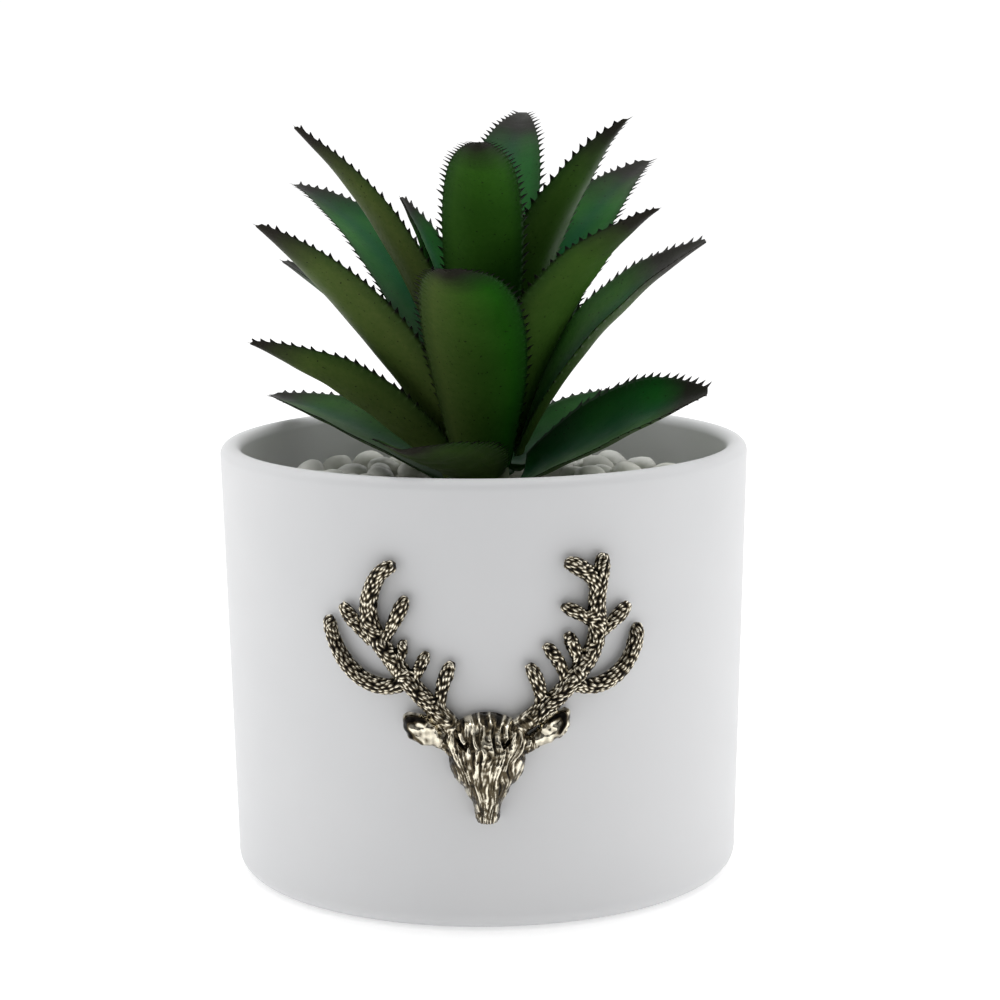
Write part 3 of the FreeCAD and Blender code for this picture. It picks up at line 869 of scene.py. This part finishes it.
def make_camera():
    back = Vector((0, -math.cos(CAMERA_PITCH), math.sin(CAMERA_PITCH)))
    side = Vector((0, 0, 1)).cross(back).normalized()
    up = back.cross(side)
    turn = Matrix((side, up, back)).transposed() @ Matrix.Rotation(CAMERA_ROLL, 3, "Z")
    data = bpy.data.cameras.new("camera")
    data.lens = CAMERA_LENS
    data.sensor_width = 36
    data.clip_start = 0.01
    camera = bpy.data.objects.new("camera", data)
    camera.matrix_world = Matrix.Translation(CAMERA_PLACE) @ turn.to_4x4()
    bpy.context.scene.collection.objects.link(camera)
    bpy.context.scene.camera = camera


def area_light(name, place, target, size, power):
    data = bpy.data.lights.new(name, "AREA")
    data.shape = "RECTANGLE"
    data.size, data.size_y = size
    data.energy = power
    light = bpy.data.objects.new(name, data)
    light.location = place
    light.rotation_euler = (Vector(target) - Vector(place)).to_track_quat("-Z", "Y").to_euler()
    bpy.context.scene.collection.objects.link(light)


def make_studio():
    """Soft light, darker from the front than from the sides and behind, and a pale floor."""
    world = bpy.data.worlds.new("studio")
    world.use_nodes = True
    nodes, links = world.node_tree.nodes, world.node_tree.links
    split = nodes.new("ShaderNodeSeparateXYZ")
    links.new(nodes.new("ShaderNodeTexCoord").outputs["Generated"], split.inputs[0])
    fade = nodes.new("ShaderNodeMapRange")
    fade.inputs["From Min"].default_value, fade.inputs["From Max"].default_value = -0.90, 0.05
    fade.inputs["To Min"].default_value, fade.inputs["To Max"].default_value = 0.12, 1.04
    links.new(split.outputs["Y"], fade.inputs["Value"])
    links.new(fade.outputs["Result"], nodes["Background"].inputs["Strength"])
    nodes["Background"].inputs["Color"].default_value = (1, 1, 1, 1)
    scene = bpy.context.scene
    scene.world = world
    middle = (0, 0, 0.09)
    area_light("left_softbox", (-0.75, -0.10, 0.35), middle, (0.7, 0.9), 0.9)
    area_light("right_softbox", (0.75, -0.10, 0.35), middle, (0.7, 0.9), 0.9)
    area_light("top_softbox", (0, 0.10, 0.95), middle, (0.8, 0.8), 3.2)
    reach = 60
    corners = [(-reach, -reach, 0), (reach, -reach, 0), (reach, reach, 0), (-reach, reach, 0)]
    floor = make_object("floor", corners, [(0, 1, 2, 3)], [])
    finish = Finish("pale_floor")
    finish.colour(finish.ramp(finish.noise(8), (0.3, 0.86), (0.7, 0.88)))
    finish.set(Roughness=0.9, Specular_IOR_Level=0.0, Emission_Color=(1, 1, 1, 1), Emission_Strength=0.36)
    floor.data.materials.append(finish.material)
    scene.view_settings.view_transform = "Standard"
    scene.view_settings.look = "None"


# ----------------------------------------------------------------------- main

def paint(node, material):
    """A finish for a CAD node that stays as it is."""
    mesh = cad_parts[node].data
    mesh.materials.clear()
    mesh.materials.append(material)


def build():
    import random as seeded
    make_camera()
    make_studio()
    build_pot(ceramic_finish())
    random = seeded.Random(7)
    stones = pebble_finish()
    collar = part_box("stem_pick")[1].x
    low = filler_stones(islands("pebble_bed"), collar + 2.2 * MM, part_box("pebble_bed")[1].x,
                        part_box("foam_plug")[1].z, (1.7, 2.9), random)
    build_pebbles("pebbles_bed_worn", "pebble_bed", stones, low, random)
    high = filler_stones(islands("pebbles_loose"), UPPER_FILL_INNER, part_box("pebbles_loose")[1].x,
                         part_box("pebbles_loose")[0].z + 0.6 * MM, (2.0, 3.2), random)
    build_pebbles("pebbles_loose_worn", "pebbles_loose", stones, high, random)
    upper = leaf_finish("leaf_upper_face", (0.003, 0.064, 0.011), (0.016, 0.122, 0.013), (0.055, 0.110, 0.018),
                        0.44, 0.6)
    under = leaf_finish("leaf_under_face", (0.010, 0.056, 0.003), (0.014, 0.100, 0.005), (0.084, 0.108, 0.028),
                        0.48, 0.0)
    for node in LEAVES:
        build_leaf(node, [upper, under], random)
    build_badge(metal_finish(), seeded.Random(11))
    paint("badge_glue", glue_finish())
    paint("foam_plug", foam_finish())
    paint("stem_pick", stem_finish())
    paint("crown_core", stem_finish())
    paint("stem_wire", wire_finish())


build()
